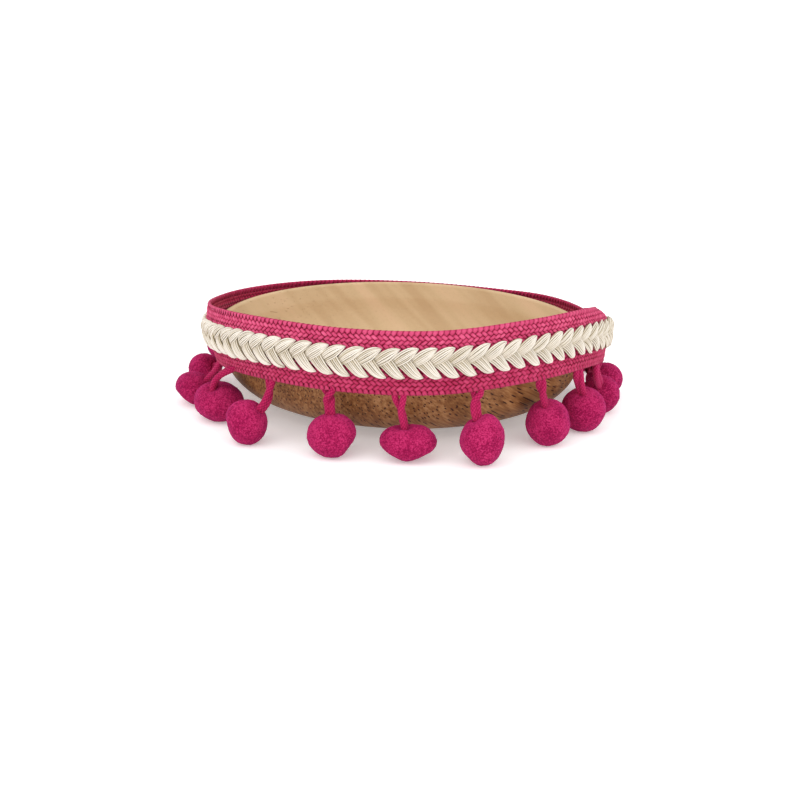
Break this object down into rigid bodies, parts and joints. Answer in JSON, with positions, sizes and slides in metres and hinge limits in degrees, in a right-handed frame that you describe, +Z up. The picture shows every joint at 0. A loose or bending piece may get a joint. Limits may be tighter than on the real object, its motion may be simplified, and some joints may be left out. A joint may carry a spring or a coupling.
{
  "type": "pompom trim on a wooden bowl",
  "caption": "A length of flat braided trim with a raised plait and hanging felt pompoms, looped once round a shallow turned wooden bowl, its ends overlapping.",
  "frame": {"origin": "centre of the bowl's flat foot, on the surface it stands on", "axes": "+Z up along the bowl's axis, -Y towards the front where the trim stands highest, +X towards the overlapping ends on the right"},
  "size_m": [0.1396, 0.1466, 0.0382],
  "materials": {
    "bowl_wood": "oiled, fine open grain",
    "pink_braid": "matt braided yarn",
    "cream_cotton": "matt cotton threads",
    "magenta_cord": "matt braided cord",
    "magenta_felt": "soft dense felt"
  },
  "bodies": {
    "root": {"bowl": "bowl_wood", "ground_braid": "pink_braid", "cream_plait": "cream_cotton", "hanging_loop_01": "magenta_cord", "hanging_loop_02": "magenta_cord", "hanging_loop_03": "magenta_cord", "hanging_loop_04": "magenta_cord", "hanging_loop_05": "magenta_cord", "hanging_loop_06": "magenta_cord", "hanging_loop_07": "magenta_cord", "hanging_loop_08": "magenta_cord", "hanging_loop_09": "magenta_cord", "hanging_loop_10": "magenta_cord", "hanging_loop_11": "magenta_cord", "hanging_loop_12": "magenta_cord", "hanging_loop_13": "magenta_cord", "hanging_loop_14": "magenta_cord", "hanging_loop_15": "magenta_cord", "hanging_loop_16": "magenta_cord", "hanging_loop_17": "magenta_cord", "hanging_loop_18": "magenta_cord", "hanging_loop_19": "magenta_cord", "pompom_01": "magenta_felt", "pompom_02": "magenta_felt", "pompom_03": "magenta_felt", "pompom_04": "magenta_felt", "pompom_05": "magenta_felt", "pompom_06": "magenta_felt", "pompom_07": "magenta_felt", "pompom_08": "magenta_felt", "pompom_09": "magenta_felt", "pompom_10": "magenta_felt", "pompom_11": "magenta_felt", "pompom_12": "magenta_felt", "pompom_13": "magenta_felt", "pompom_14": "magenta_felt", "pompom_15": "magenta_felt", "pompom_16": "magenta_felt", "pompom_17": "magenta_felt", "pompom_18": "magenta_felt", "pompom_19": "magenta_felt"}
  },
  "joints": []
}
